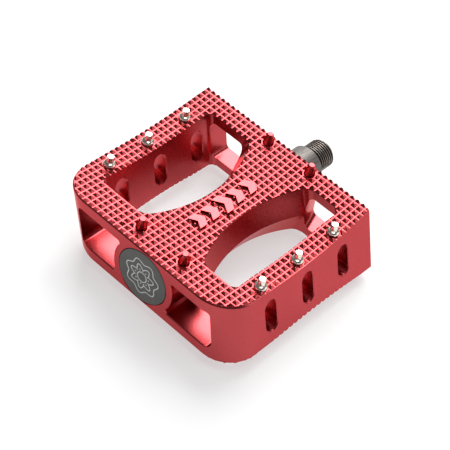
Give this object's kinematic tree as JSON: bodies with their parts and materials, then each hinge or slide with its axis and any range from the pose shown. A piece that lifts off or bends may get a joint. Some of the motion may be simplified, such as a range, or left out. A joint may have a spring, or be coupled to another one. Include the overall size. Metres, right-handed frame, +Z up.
{
  "type": "bicycle pedal",
  "caption": "Flat bicycle pedal with a dished, knurled platform, leaning slotted rails and steel grip pins, turning on a threaded axle.",
  "frame": {"origin": "centre of the whole pedal's box, which lies on the axle's centre line", "axes": "+X along the axle towards the crank, +Z up out of the upper tread face, +Y across the platform"},
  "size_m": [0.1216, 0.1106, 0.0394],
  "materials": {
    "red_anodised": "satin red anodised, bead blasted",
    "bearing_steel": "ground",
    "pin_steel": "nickel plated",
    "axle_steel": "turned and ground",
    "cage_brass": "satin",
    "cap_grey": "satin dark grey with fine engraved lines",
    "black_rubber": "matt"
  },
  "bodies": {
    "axle": {"axle": "axle_steel", "outboard_inner_race": "bearing_steel", "inboard_inner_race": "bearing_steel", "keyed_washer": "bearing_steel", "locknut": "bearing_steel"},
    "platform": {"pedal_body": "red_anodised", "outboard_outer_race": "bearing_steel", "inboard_outer_race": "bearing_steel", "axle_seal": "black_rubber", "end_cap": "cap_grey", "top_pin_1": "pin_steel", "top_pin_2": "pin_steel", "top_pin_3": "pin_steel", "top_pin_4": "pin_steel", "top_pin_5": "pin_steel", "top_pin_6": "pin_steel", "bottom_pin_1": "pin_steel", "bottom_pin_2": "pin_steel", "bottom_pin_3": "pin_steel", "bottom_pin_4": "pin_steel", "bottom_pin_5": "pin_steel", "bottom_pin_6": "pin_steel"},
    "outboard_cage": {"outboard_ball_cage": "cage_brass"},
    "inboard_cage": {"inboard_ball_cage": "cage_brass"}
  },
  "joints": [
    {"name": "platform_spin", "type": "hinge", "parent": "axle", "child": "platform", "pos_m": [0, 0, 0], "axis": [1, 0, 0], "continuous": true},
    {"name": "outboard_cage_spin", "type": "hinge", "parent": "axle", "child": "outboard_cage", "pos_m": [0, 0, 0], "axis": [1, 0, 0], "continuous": true},
    {"name": "inboard_cage_spin", "type": "hinge", "parent": "axle", "child": "inboard_cage", "pos_m": [0, 0, 0], "axis": [1, 0, 0], "continuous": true}
  ],
  "couplings": [
    {"joint": "outboard_cage_spin", "follows": "platform_spin", "ratio": 0.594},
    {"joint": "inboard_cage_spin", "follows": "platform_spin", "ratio": 0.556}
  ]
}
